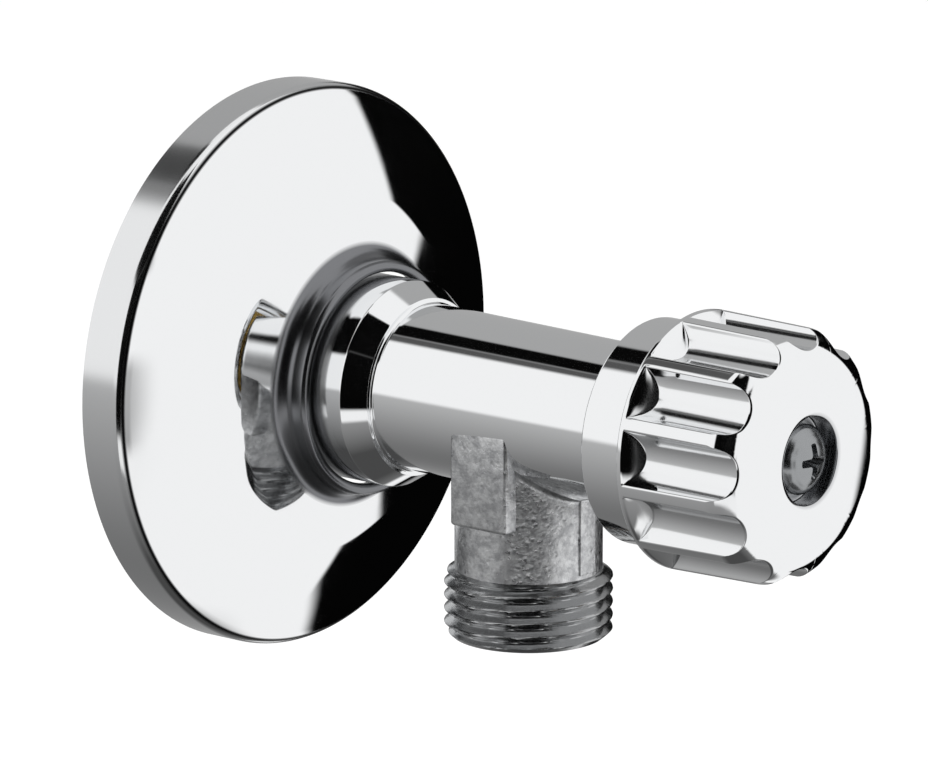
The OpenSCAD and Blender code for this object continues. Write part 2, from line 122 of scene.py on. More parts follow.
class FlangeSizes(bpy.types.PropertyGroup):
    """The pressed wall flange"""

    radius: FloatProperty(
        name="Radius", description="Outer radius of the flange", default=FLANGE_HIGH.z, **LENGTH)
    rim: FloatProperty(name="Rim height", description="Height of the straight rim", default=3.9 * MM, **LENGTH)
    edge: FloatProperty(
        name="Edge radius", description="Rounded edge between rim and face", default=1.2 * MM, **LENGTH)
    dome: FloatProperty(
        name="Dome radius", description="Radius of the domed outer zone", default=107 * MM, **LENGTH)
    dome_slope: FloatProperty(
        name="Dome slope", description="Slope of the domed zone at its inner end",
        default=math.radians(23), **ANGLE)
    ring: FloatProperty(
        name="Ring radius", description="Outer radius of the flatter ring inside the dome",
        default=16.6 * MM, **LENGTH)
    ring_slope: FloatProperty(
        name="Ring slope", description="Slope of the flatter ring", default=math.radians(15), **ANGLE)
    bend: FloatProperty(
        name="Bend radius", description="Radius of the bend between ring and dome", default=9 * MM, **LENGTH)
    hollow: FloatProperty(
        name="Hollow radius", description="Radius of the hollow corner that turns up into the collar",
        default=1.6 * MM, **LENGTH)
    collar: FloatProperty(
        name="Collar height", description="Height of the collar's straight part", default=0.8 * MM, **LENGTH)
    sheet: FloatProperty(name="Sheet", description="Sheet thickness", default=0.9 * MM, **LENGTH)
    hole: FloatProperty(
        name="Hole radius", description="Radius inside the collar", default=10.65 * MM, **LENGTH)
    lip: FloatProperty(
        name="Lip radius", description="Rolled lip at the top of the collar", default=0.6 * MM, **LENGTH)


class BodySizes(bpy.types.PropertyGroup):
    """The cast and turned valve body"""

    shoulder: FloatProperty(
        name="Shoulder radius", description="Radius of the shoulder inside the flange's collar",
        default=10.35 * MM, **LENGTH)
    shoulder_end: FloatProperty(
        name="Shoulder end", description="Distance from the wall to the shoulder's front edge",
        default=17.6 * MM, **LENGTH)
    cone: FloatProperty(
        name="Cone length", description="Length of the cone between shoulder and barrel",
        default=2.3 * MM, **LENGTH)
    barrel: FloatProperty(
        name="Barrel radius", description="Barrel radius beside the cone", default=8.4 * MM, **LENGTH)
    barrel_end: FloatProperty(
        name="Barrel end radius", description="Barrel radius at its open end", default=7.9 * MM, **LENGTH)
    outlet_x: FloatProperty(
        name="Outlet place", description="Distance from the wall to the outlet's axis",
        default=33.1 * MM, **LENGTH)
    neck: FloatProperty(name="Neck radius", description="Radius of the outlet neck", default=7.3 * MM, **LENGTH)
    neck_blend: FloatProperty(
        name="Neck blend", description="Reach of the cast fillet between barrel and neck",
        default=0.55 * MM, **LENGTH)
    outlet_major: FloatProperty(
        name="Outlet thread radius", description="Major radius of the outlet thread",
        default=8.331 * MM, **LENGTH)
    outlet_minor: FloatProperty(
        name="Outlet root radius", description="Minor radius of the outlet thread",
        default=7.475 * MM, **LENGTH)
    outlet_pitch: FloatProperty(
        name="Outlet pitch", description="Pitch of the outlet thread", default=1.337 * MM, **LENGTH)
    outlet_thread: FloatProperty(
        name="Outlet thread length", description="Length of the outlet thread", default=6.8 * MM, **LENGTH)
    inlet_major: FloatProperty(
        name="Inlet thread radius", description="Major radius of the inlet thread",
        default=10.4775 * MM, **LENGTH)
    inlet_minor: FloatProperty(
        name="Inlet root radius", description="Minor radius of the inlet thread", default=9.316 * MM, **LENGTH)
    inlet_pitch: FloatProperty(
        name="Inlet pitch", description="Pitch of the inlet thread", default=1.814 * MM, **LENGTH)
    inlet_bore: FloatProperty(
        name="Inlet bore", description="Radius of the inlet waterway", default=5.5 * MM, **LENGTH)
    tube_bore: FloatProperty(
        name="Tube bore", description="Radius of the bore that takes the supply tube",
        default=5.1 * MM, **LENGTH)
    way: FloatProperty(
        name="Outlet way", description="Radius of the waterway above the tube bore", default=3.8 * MM, **LENGTH)
    pad_width: FloatProperty(
        name="Pad width", description="Width of the raised pad on the neck", default=7 * MM, **LENGTH)
    pad_top: FloatProperty(
        name="Pad top", description="Height of the pad's top edge", default=-1 * MM, **LENGTH)
    pad_bottom: FloatProperty(
        name="Pad bottom", description="Height of the pad's bottom edge", default=-10.9 * MM, **LENGTH)
    pad_reach: FloatProperty(
        name="Pad reach", description="Distance of the pad's face from the valve's middle plane",
        default=8.05 * MM, **LENGTH)
    land_width: FloatProperty(
        name="Land width", description="Width of the flat land on the casting's parting plane",
        default=2.3 * MM, **LENGTH)


class WheelSizes(bpy.types.PropertyGroup):
    """The die-cast handwheel"""

    skirt: FloatProperty(
        name="Skirt radius", description="Outer radius of the plain skirt", default=11.1 * MM, **LENGTH)
    skirt_wall: FloatProperty(
        name="Skirt wall", description="Wall thickness of the skirt", default=0.9 * MM, **LENGTH)
    grip_start: FloatProperty(
        name="Grip start", description="Distance from the wall to the grip's rear rim",
        default=53.7 * MM, **LENGTH)
    rim: FloatProperty(
        name="Rear rim", description="Thickness of the full rim behind the flutes", default=0.6 * MM, **LENGTH)
    front_radius: FloatProperty(
        name="Front radius", description="Radius over the ridges at the front", default=12.5 * MM, **LENGTH)
    flutes: IntProperty(name="Flutes", description="Number of flutes", default=12)
    flute: FloatProperty(name="Flute radius", description="Radius of each flute", default=2.9 * MM, **LENGTH)
    flute_depth: FloatProperty(
        name="Flute centre", description="Distance of each flute's centre from the valve's axis",
        default=13.6 * MM, **LENGTH)
    flute_turn: FloatProperty(
        name="Flute turn", description="Turn of the flutes about the axis, from -Y towards +Z",
        default=math.radians(3), **ANGLE)
    flute_end: FloatProperty(
        name="Flute end", description="Draft angle of the wall that ends each flute at the rear rim",
        default=math.radians(37), **ANGLE)
    ridge_edge: FloatProperty(
        name="Ridge edge", description="Rounding between each ridge and its flutes",
        default=0.25 * MM, **LENGTH)
    flute_edge: FloatProperty(
        name="Flute edge", description="Rounding where the flutes run out in the front",
        default=0.32 * MM, **LENGTH)
    front_edge: FloatProperty(
        name="Front edge", description="Rounding between ridges and front", default=3.2 * MM, **LENGTH)
    dome: FloatProperty(name="Front dome", description="Radius of the domed front", default=70 * MM, **LENGTH)
    crown: FloatProperty(
        name="Front crown", description="Distance from the wall to the dome's middle, over the recess",
        default=67.65 * MM, **LENGTH)
    recess: FloatProperty(
        name="Recess radius", description="Radius of the screw recess", default=4.35 * MM, **LENGTH)
    bevel: FloatProperty(
        name="Recess bevel", description="Width of the shallow bevelled edge of the recess",
        default=0.5 * MM, **LENGTH)
    bevel_depth: FloatProperty(
        name="Bevel depth", description="Depth of the bevelled edge of the recess", default=0.18 * MM, **LENGTH)
    bay: FloatProperty(
        name="Bay radius", description="Radius of the hollow behind the flutes", default=9.0 * MM, **LENGTH)
    bay_end: FloatProperty(
        name="Bay end", description="Distance from the wall to the floor of the hollow",
        default=62.4 * MM, **LENGTH)
    hub: FloatProperty(name="Hub radius", description="Outer radius of the hub", default=6.7 * MM, **LENGTH)


class ScrewSizes(bpy.types.PropertyGroup):
    """The handwheel's screw"""

    head: FloatProperty(
        name="Head radius", description="Radius of the domed head", default=SCREW_HIGH.z, **LENGTH)
    crown: FloatProperty(name="Crown", description="Height of the head's dome", default=1.4 * MM, **LENGTH)
    cross: FloatProperty(
        name="Cross size", description="Width over the arms of the cross recess", default=3.9 * MM, **LENGTH)
    corner: FloatProperty(
        name="Cross corner", description="Rounding in the corners between the arms", default=0.3 * MM, **LENGTH)
    arm: FloatProperty(
        name="Arm width", description="Width of each arm of the cross", default=0.8 * MM, **LENGTH)
    depth: FloatProperty(
        name="Cross depth", description="Depth of the cross recess", default=1.6 * MM, **LENGTH)
    shank: FloatProperty(
        name="Shank radius", description="Radius of the screw's shank", default=1.99 * MM, **LENGTH)


class StageSettings(bpy.types.PropertyGroup):
    """Camera, floor and light"""

    azimuth: FloatProperty(
        name="Azimuth", description="Camera's turn about the object, 0 looks along +Y",
        default=math.radians(39), **ANGLE)
    elevation: FloatProperty(
        name="Elevation", description="Camera's height above the horizon", default=math.radians(13.6), **ANGLE)
    distance: FloatProperty(
        name="Distance", description="Camera's distance from the point it looks at", default=714 * MM, **LENGTH)
    aim: FloatVectorProperty(
        name="Aim", description="Point that the camera looks at",
        default=(28.38 * MM, -4.27 * MM, 2.75 * MM), unit="LENGTH", subtype="XYZ")
    lens: FloatProperty(
        name="Focal length", description="Focal length in millimetres on a 36 mm sensor",
        default=283.3)
    floor_drop: FloatProperty(
        name="Floor drop", description="Distance of the floor below the valve's axis",
        default=75 * MM, **LENGTH)
    floor_colour: FloatVectorProperty(
        name="Floor colour", description="Pale floor",
        default=(0.93, 0.93, 0.93), subtype="COLOR", min=0, max=1)
    floor_lift: FloatProperty(
        name="Floor lift", description="Added to the floor for the camera only, so that it meets the white",
        default=0.25)
    ambient: FloatProperty(
        name="Ambient", description="Strength of the soft light from all round",
        default=0.75)


# Mesh helpers

def arc(centre, radius, start, end, steps):
    """Points on a circle in an outline; angles in radians from the radius direction towards +X."""
    angle = np.linspace(start, end, steps + 1)
    return [(centre[0] + radius * math.cos(a), centre[1] + radius * math.sin(a)) for a in angle]


def rounded(corners, steps=5, support=0.08 * MM):
    """An outline through (radius, distance, rounding) corners, with each corner rounded by an arc.

    A point close to each end of a straight stretch keeps the shading of that stretch flat."""
    points = [np.array(c[:2]) for c in corners]
    out = []
    for i, point in enumerate(points):
        fillet = corners[i][2]
        if i in (0, len(points) - 1) or fillet == 0:
            out.append(tuple(point))
            continue
        before = points[i - 1] - point
        after = points[i + 1] - point
        before_length = np.linalg.norm(before)
        after_length = np.linalg.norm(after)
        before = before / before_length
        after = after / after_length
        half = math.acos(float(np.clip(before @ after, -1, 1))) / 2
        reach = min(fillet / math.tan(half), 0.48 * before_length, 0.48 * after_length)
        radius = reach * math.tan(half)
        middle = (before + after) / np.linalg.norm(before + after)
        centre = point + middle * radius / math.sin(half)
        if before_length > 4 * support + reach:
            out.append(tuple(point + before * (reach + support)))
        first = point + before * reach - centre
        last = point + after * reach - centre
        start = math.atan2(first[1], first[0])
        sweep = math.atan2(first[0] * last[1] - first[1] * last[0], float(first @ last))
        out += arc(centre, radius, start, start + sweep, steps)
        if after_length > 4 * support + reach:
            out.append(tuple(point + after * (reach + support)))
    return out


def about_valve(radius, angle, along):
    """Points at a radius and an angle about the valve's axis, and at a distance from the wall."""
    return np.stack(np.broadcast_arrays(along, -radius * np.cos(angle), radius * np.sin(angle)), axis=-1)


def about_outlet(radius, angle, height, x):
    """Points at a radius and an angle about the outlet's axis, and at a height."""
    return np.stack(np.broadcast_arrays(x + radius * np.sin(angle), -radius * np.cos(angle), height), axis=-1)


def turned(outline, columns=TURN_STEPS):
    """Rows of points from an outline of (radius, distance from the wall), turned about the valve's axis."""
    angle = np.linspace(0, 2 * math.pi, columns, endpoint=False)
    radius, along = np.array(outline).T[:, :, None]
    return about_valve(radius, angle, along)


def upright(outline, x, columns=TURN_STEPS):
    """Rows of points from an outline of (radius, height), turned about the outlet's axis."""
    angle = np.linspace(0, 2 * math.pi, columns, endpoint=False)
    radius, height = np.array(outline).T[:, :, None]
    return about_outlet(radius, angle, height, x)


def add_grid(mesh, rows, closed=False, material=0):
    """Joins rows of points with quads. Each row is a ring; closed joins the last row to the first."""
    rings = [[mesh.verts.new(p) for p in row] for row in rows]
    count = len(rings)
    for i in range(count if closed else count - 1):
        low, high = rings[i], rings[(i + 1) % count]
        for j in range(len(low)):
            k = (j + 1) % len(low)
            face = mesh.faces.new((low[j], low[k], high[k], high[j]))
            face.material_index = material
    return rings


def finish_piece(name, mesh, materials, body, nodes, sharp=32):
    """Turns a bmesh into a piece: normals out, smooth shading with crisp edges, riding on its body."""
    bmesh.ops.remove_doubles(mesh, verts=mesh.verts, dist=0.0015 * MM)
    bmesh.ops.dissolve_degenerate(mesh, edges=mesh.edges, dist=0.0005 * MM)
    bmesh.ops.recalc_face_normals(mesh, faces=mesh.faces)
    data = bpy.data.meshes.new(name)
    mesh.to_mesh(data)
    mesh.free()
    for polygon in data.polygons:
        polygon.use_smooth = True
    data.set_sharp_from_angle(angle=math.radians(sharp))
    piece = bpy.data.objects.new(name, data)
    for material in materials:
        data.materials.append(material)
    bpy.context.scene.collection.objects.link(piece)
    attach(piece, body)
    if nodes:
        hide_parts(*nodes)
    return piece


def thread_rows(start, end, major, minor, pitch, limit, columns=144, rows_per_turn=16):
    """Radius of a round-crested pipe thread on a grid of positions and angles.

    limit(position) caps the radius, which cuts the thread's chamfers and run-outs."""
    count = int(math.ceil((end - start) / pitch * rows_per_turn)) + 1
    place = np.linspace(start, end, count)[:, None]
    angle = np.linspace(0, 2 * math.pi, columns, endpoint=False)[None, :]
    crispness = 0.93
    wave = np.arcsin(crispness * np.cos(2 * math.pi * (place / pitch - angle / (2 * math.pi))))
    height = 0.5 + 0.5 * wave / math.asin(crispness)
    radius = minor + (major - minor) * height
    cap = np.array([limit(float(p)) for p in place[:, 0]])[:, None]
    return place[:, 0], angle[0], np.minimum(radius, cap)


# Materials

def linear(code):
    """An sRGB hex colour as linear RGBA."""
    parts = [int(code[i:i + 2], 16) / 255 for i in (1, 3, 5)]
    return tuple(c / 12.92 if c <= 0.04045 else ((c + 0.055) / 1.055) ** 2.4 for c in parts) + (1.0,)


def add(tree, kind, inputs=(), **settings):
    """Adds one node, sets its properties, and sets or links its inputs, given by name or in their order.

    A node given as an input is linked by the first of its outputs that is in use."""
    node = tree.nodes.new("ShaderNode" + kind)
    for name, value in settings.items():
        setattr(node, name, value)
    for key, value in inputs.items() if isinstance(inputs, dict) else enumerate(inputs):
        if isinstance(value, bpy.types.Node):
            value = next(socket for socket in value.outputs if socket.enabled)
        if isinstance(value, bpy.types.NodeSocket):
            tree.links.new(value, node.inputs[key])
        else:
            node.inputs[key].default_value = value
    return node


def new_material(name):
    """An empty material's tree, and object coordinates in millimetres, so a pattern's scale is per mm."""
    material = bpy.data.materials.new(name)
    material.use_nodes = True
    tree = material.node_tree
    tree.nodes.clear()
    place = add(tree, "TexCoord").outputs["Object"]
    return tree, add(tree, "Mapping", {"Vector": place, "Scale": (1000, 1000, 1000)})


def plated(name, zones):
    """Chromium plating, a clear mirror with a faint haze and a trace of waviness. Each zone is a ring between
    two radii and two distances from the wall, in mm, with its own roughness and colour; the darker colours of
    the flange's edge line and collar and the body's shoulder are painted dark reflections, that of the wheel's
    screw recess painted shade."""
    tree, place = new_material(name)
    haze = add(tree, "TexNoise", {"Vector": place, "Scale": 0.35, "Detail": 3})  # patches of 3 mm
    waves = add(tree, "TexNoise", {"Vector": place, "Scale": 0.5, "Detail": 1})  # 2 mm from crest to crest
    rough = add(tree, "MapRange", (haze, 0.3, 0.7, 0.03, 0.06))
    colour = linear("#F1F2F3")
    part = add(tree, "SeparateXYZ", (place,)).outputs
    flat = add(tree, "CombineXYZ", (0, part["Y"], part["Z"]))
    radius = add(tree, "VectorMath", (flat,), operation="LENGTH")
    for low_r, high_r, low_x, high_x, soft, satin, shade in zones:
        inside = 1.0
        for value, low, high in ((radius, low_r, high_r), (part["X"], low_x, high_x)):
            for edge, start, end in ((low, 0, 1), (high, 1, 0)):
                step = add(tree, "MapRange", (value, edge - soft, edge + soft, start, end))
                inside = add(tree, "Math", (inside, step), operation="MULTIPLY")
        rough = add(tree, "Mix", {"Factor": inside, "A": rough, "B": satin})
        # The zone's colour: a painted dark reflection on the flange's edge line, the collar and the shoulder,
        # painted shade in the screw recess
        colour = add(tree, "Mix", {"Factor": inside, "A": colour, "B": linear(shade)}, data_type="RGBA")
    bump = add(tree, "Bump", {"Height": waves, "Strength": 0.05, "Distance": 0.02 * MM})
    shader = add(tree, "BsdfPrincipled", {
        "Base Color": colour, "Metallic": 1.0, "Roughness": rough, "Normal": bump})
    add(tree, "OutputMaterial", {"Surface": shader})


def cast_chrome():
    """Chromium plating over brass left as cast: satin, uneven in thickness, with the mould's grain and pits."""
    tree, place = new_material("Chromium plating, as cast")
    # Grains of sand of 0.6 mm, pits 0.8 mm apart, and patches of thin plating of 1.1 mm
    grain = add(tree, "TexNoise", {"Vector": place, "Scale": 1.6, "Detail": 4, "Roughness": 0.65})
    pits = add(tree, "TexVoronoi", {"Vector": place, "Scale": 1.3})
    thin = add(tree, "TexNoise", {"Vector": place, "Scale": 0.9, "Detail": 5, "Roughness": 0.7})
    fine = add(tree, "Bump", {"Height": grain, "Strength": 0.5, "Distance": 0.12 * MM})
    pit_depth = add(tree, "MapRange", (pits, 0.0, 0.35))
    bump = add(tree, "Bump", {"Height": pit_depth, "Strength": 0.25, "Distance": 0.1 * MM, "Normal": fine})
    cover = add(tree, "MapRange", (thin, 0.4, 0.6))
    colour = add(tree, "Mix", {
        "Factor": cover, "A": linear("#B0B1B3"), "B": linear("#DCDDDE")}, data_type="RGBA")
    rough = add(tree, "MapRange", (grain, 0.3, 0.7, 0.24, 0.42))
    shader = add(tree, "BsdfPrincipled", {
        "Base Color": colour, "Metallic": 1.0, "Roughness": rough, "Normal": bump})
    add(tree, "OutputMaterial", {"Surface": shader})


def threaded_chrome():
    """Thin chromium plating on a cut thread: satin, with the cutting die's fine grain of 0.4 mm."""
    tree, place = new_material("Chromium plating, thread cut")
    grain = add(tree, "TexNoise", {"Vector": place, "Scale": 2.5, "Detail": 3})
    bump = add(tree, "Bump", {"Height": grain, "Strength": 0.25, "Distance": 0.05 * MM})
    rough = add(tree, "MapRange", (grain, 0.3, 0.7, 0.14, 0.26))
    shader = add(tree, "BsdfPrincipled", {
        "Base Color": linear("#B6B7B8"), "Metallic": 1.0, "Roughness": rough, "Normal": bump})
    add(tree, "OutputMaterial", {"Surface": shader})


def turned_metal(name, colour, rough_low, rough_high, line_spacing):
    """Metal turned on a lathe: satin, with tool lines line_spacing millimetres apart and stains of 1.7 mm."""
    tree, place = new_material(name)
    bands = 20 / (2 * math.pi)  # what a wave texture has per unit, at a scale of 1
    lines = add(tree, "TexWave", {
        "Vector": place, "Scale": 1 / (line_spacing * bands), "Distortion": 0.6, "Detail": 2},
        wave_type="BANDS", bands_direction="X")
    stain = add(tree, "TexNoise", {"Vector": place, "Scale": 0.6, "Detail": 4})
    bump = add(tree, "Bump", {"Height": lines.outputs["Fac"], "Strength": 0.3, "Distance": 0.02 * MM})
    rough = add(tree, "MapRange", (stain, 0.3, 0.7, rough_low, rough_high))
    shader = add(tree, "BsdfPrincipled", {
        "Base Color": linear(colour), "Metallic": 1.0, "Roughness": rough, "Normal": bump})
    add(tree, "OutputMaterial", {"Surface": shader})


def moulded(name, colours, roughness, grain_size, depth):
    """A moulded or pressed non-metal: mottled between two colours, with a grain of grain_size millimetres."""
    tree, place = new_material(name)
    grain = add(tree, "TexNoise", {"Vector": place, "Scale": 1 / grain_size, "Detail": 3})
    colour = add(tree, "Mix", {
        "Factor": grain, "A": linear(colours[0]), "B": linear(colours[1])}, data_type="RGBA")
    bump = add(tree, "Bump", {"Height": grain, "Strength": 0.3, "Distance": depth * MM})
    shader = add(tree, "BsdfPrincipled", {"Base Color": colour, "Roughness": roughness, "Normal": bump})
    add(tree, "OutputMaterial", {"Surface": shader})


# Pieces

class VALVE_OT_flange(bpy.types.Operator):
    """Pressed wall flange with a domed face, a hollow rising to the collar and a rolled lip"""

    bl_idname = "valve.flange"
    bl_label = "Wall flange"

    def skin(self, size, inset):
        """The outline from the wall over rim, dome, bend, ring and hollow, inset below the outer skin."""
        hollow_r = size.hole + 2 * size.lip + size.hollow
        join_r = hollow_r - size.hollow * math.sin(size.ring_slope)
        bend_r = size.ring - size.bend * math.sin(size.ring_slope)
        dome_r = bend_r - (size.dome - size.bend) * math.sin(size.dome_slope)
        edge_r = size.radius - size.edge
        dome_x = size.rim - math.sqrt((size.dome - size.edge) ** 2 - (edge_r - dome_r) ** 2)
        bend_x = dome_x + (size.dome - size.bend) * math.cos(size.dome_slope)
        ring_x = bend_x + size.bend * math.cos(size.ring_slope)
        join_x = ring_x + (size.ring - join_r) * math.tan(size.ring_slope)
        hollow_x = join_x + size.hollow * math.cos(size.ring_slope)
        edge_angle = math.atan2(size.rim - dome_x, edge_r - dome_r)
        dome_end = math.pi / 2 - size.dome_slope
        ring_angle = math.pi / 2 - size.ring_slope
        support = 0.1 * MM
        along = np.array([-math.cos(size.ring_slope), math.sin(size.ring_slope)])
        points = [(size.radius - inset, 0), (size.radius - inset, size.rim - support)]
        points += arc((edge_r, size.rim), size.edge - inset, 0, edge_angle, 10)
        points += arc((dome_r, dome_x), size.dome - inset, edge_angle, dome_end, 16)[1:]
        points += arc((bend_r, bend_x), size.bend - inset, dome_end, ring_angle, 12)[1:]
        points.append(tuple(np.array(points[-1]) + support * along))
        hollow = arc((hollow_r, hollow_x), size.hollow + inset, -math.pi / 2 - size.ring_slope, -math.pi, 20)
        points.append(tuple(np.array(hollow[0]) - support * along))
        return points + hollow + [(hollow[-1][0], hollow_x + support)]

    def execute(self, context):
        size = context.scene.valve_flange
        outer = self.skin(size, 0)
        inner = self.skin(size, size.sheet)
        lip_x = outer[-1][1] + size.collar
        lip = arc((size.hole + size.lip, lip_x), size.lip, 0, math.pi, 14)
        outline = outer + lip + [(size.hole, lip_x - 0.5 * size.lip)] + inner[::-1]
        mesh = bmesh.new()
        add_grid(mesh, turned(outline, 240), closed=True)
        finish_piece(
            "flange_pressing", mesh, [bpy.data.materials["Chromium plating, pressed flange"]],
            "housing", ["wall_flange"])
        return {"FINISHED"}


class VALVE_OT_body(bpy.types.Operator):
    """Valve body: turned shoulder, cone and barrel, cast neck, pad and land, two pipe threads, real bores"""

    bl_idname = "valve.body"
    bl_label = "Valve body"

    def barrel_radius(self, size, x):
        """Radius of the tapering barrel at a distance from the wall."""
        start = size.shoulder_end + size.cone
        share = (x - start) / (BODY_HIGH.x - start)
        return size.barrel + (size.barrel_end - size.barrel) * share

    def turned_part(self, mesh, size):
        """The outside from relief groove to barrel's end, and the bores back to the inlet."""
        start, end = BODY_LOW.x, BODY_HIGH.x
        root = size.inlet_minor - 0.1 * MM
        mouth = size.inlet_bore + 1.3 * MM
        groove, shoulder_start = 9.1 * MM, 4 * MM
        cone_end = size.shoulder_end + size.cone
        bonnet_bore, bonnet_floor = 6.5 * MM, end - 10.9 * MM
        chamber, chamber_floor = 6 * MM, 28 * MM
        seat_foot, seat_top, seat_x = 5.3 * MM, 5 * MM, 28.8 * MM
        way, way_start = 4.3 * MM, 25 * MM
        corners = [
            (mouth, start, 0), (root - 0.4 * MM, start, 0.1 * MM), (root, start + 0.4 * MM, 0.1 * MM),
            (root, INLET_THREAD_END, 0.2 * MM), (groove, INLET_THREAD_END + 0.3 * MM, 0.3 * MM),
            (groove, shoulder_start - 0.5 * MM, 0.2 * MM), (size.shoulder, shoulder_start, 0.3 * MM),
            (size.shoulder, size.shoulder_end, 0.3 * MM), (size.barrel + 0.5 * MM, cone_end, 0.05 * MM),
            (size.barrel, cone_end + 0.05 * MM, 0.6 * MM), (size.barrel_end, end, 0.35 * MM),
            (bonnet_bore, end, 0.2 * MM), (bonnet_bore, bonnet_floor, 0.2 * MM),
            (chamber, bonnet_floor, 0.1 * MM), (chamber, chamber_floor, 0.2 * MM),
            (seat_foot, chamber_floor, 0.1 * MM), (seat_top, seat_x, 0.15 * MM), (way, seat_x, 0.15 * MM),
            (way, way_start, 0.1 * MM), (size.inlet_bore, way_start, 0.2 * MM),
            (size.inlet_bore, start + 1 * MM, 0.2 * MM), (mouth, start, 0)]
        add_grid(mesh, turned(rounded(corners)[:-1]), closed=True, material=TURNED)

    def thread(self, mesh, start, end, major, minor, pitch, limit, about):
        """A pipe thread with its inner side closed, turned about an axis by about()."""
        place, angle, radius = thread_rows(start, end, major, minor, pitch, limit)
        inner = np.full((1, len(angle)), minor - THREAD_BACK)
        rows = [about(inner, angle, start), about(radius, angle, place[:, None]), about(inner, angle, end)]
        add_grid(mesh, np.concatenate(rows), material=CUT)

    def inlet_thread(self, mesh, size):
        """The pipe thread that goes into the wall."""
        start, end = BODY_LOW.x, INLET_THREAD_END

        def limit(x):
            lead = size.inlet_minor + 1.2 * max(x - start, 0)
            runout = size.inlet_minor - 0.1 * MM + 2 * max(end - x, 0)
            return min(size.inlet_major, lead, runout)

        self.thread(
            mesh, start, end, size.inlet_major, size.inlet_minor, size.inlet_pitch, limit, about_valve)

    def outlet_thread(self, mesh, size):
        """The pipe thread that takes the supply tube's coupling nut."""
        start = BODY_LOW.z
        end = start + size.outlet_thread

        def limit(z):
            lead = size.outlet_major - 0.75 * MM + 1.1 * max(z - start, 0)
            runout = size.neck + 2.2 * max(end - z, 0)
            return min(size.outlet_major, lead, runout)

        self.thread(
            mesh, start, end, size.outlet_major, size.outlet_minor, size.outlet_pitch, limit,
            lambda radius, angle, height: about_outlet(radius, angle, height, size.outlet_x))

    def neck(self, mesh, size):
        """The cast neck: a fillet that leaves the barrel, the plain wall, the end face and the bores."""
        angle = np.linspace(0, 2 * math.pi, TURN_STEPS, endpoint=False)
        reach = size.neck_blend

        def on_barrel(radius):
            row = about_outlet(radius, angle, 0.0, size.outlet_x)
            row[:, 2] = -np.sqrt(self.barrel_radius(size, row[:, 0]) ** 2 - row[:, 1] ** 2)
            return row

        rim = on_barrel(size.neck + reach)
        rim[:, 2] += 0.01 * MM  # just inside the barrel, so that no slit shows
        crease = on_barrel(size.neck)
        wall = crease - np.array([0, 0, reach])
        rows = [(1 - t) ** 2 * rim + 2 * t * (1 - t) * crease + t ** 2 * wall for t in np.linspace(0, 1, 9)]
        thread_top = BODY_LOW.z + size.outlet_thread
        for t in np.linspace(0.06, 1, 8):
            row = wall.copy()
            row[:, 2] = wall[:, 2] * (1 - t) + (thread_top - 0.2 * MM) * t
            rows.append(row)
        end = BODY_LOW.z
        root = size.outlet_minor - 0.1 * MM
        tube_stop, way_top = end + 9 * MM, -5.2 * MM
        inner = rounded([
            (root, thread_top - 0.3 * MM, 0), (root, end, 0.1 * MM), (size.tube_bore + 1.3 * MM, end, 0.1 * MM),
            (size.tube_bore, end + 1.4 * MM, 0.2 * MM), (size.tube_bore, tube_stop, 0.1 * MM),
            (size.way, tube_stop, 0.15 * MM), (size.way, way_top, 0)])
        add_grid(mesh, np.concatenate([rows, upright(inner, size.outlet_x)]), material=CAST)

    def rounded_block(self, mesh, low, high, edge):
        """A block between two corners with rounded edges, as a raised form on the casting."""
        made = bmesh.ops.create_cube(mesh, size=1)
        low, high = Vector(low), Vector(high)
        for vert in made["verts"]:
            vert.co = Vector(((low[i] + high[i]) / 2 + vert.co[i] * (high[i] - low[i]) for i in range(3)))
        edges = {e for v in made["verts"] for e in v.link_edges}
        for face in {f for v in made["verts"] for f in v.link_faces}:
            face.material_index = CAST
        bmesh.ops.bevel(
            mesh, geom=list(edges), offset=edge, offset_type="OFFSET", segments=4, profile=0.5,
            affect="EDGES", material=CAST)

    def execute(self, context):
        size = context.scene.valve_body
        mesh = bmesh.new()
        self.turned_part(mesh, size)
        self.neck(mesh, size)
        self.inlet_thread(mesh, size)
        self.outlet_thread(mesh, size)
        half_pad, half_land = size.pad_width / 2, size.land_width / 2
        root = 4 * MM  # where both blocks start, inside the neck
        land_reach, land_top = size.neck + 0.12 * MM, -3 * MM
        land_bottom = BODY_LOW.z + size.outlet_thread + 0.4 * MM
        self.rounded_block(
            mesh, (size.outlet_x - half_pad, -size.pad_reach, size.pad_bottom),
            (size.outlet_x + half_pad, -root, size.pad_top), 0.4 * MM)
        self.rounded_block(
            mesh, (size.outlet_x + root, -half_land, land_bottom),
            (size.outlet_x + land_reach, half_land, land_top), 0.08 * MM)
        materials = [bpy.data.materials[name] for name in (
            "Chromium plating, turned body", "Chromium plating, as cast", "Chromium plating, thread cut")]
        finish_piece("body_casting", mesh, materials, "housing", ["valve_body"])
        return {"FINISHED"}


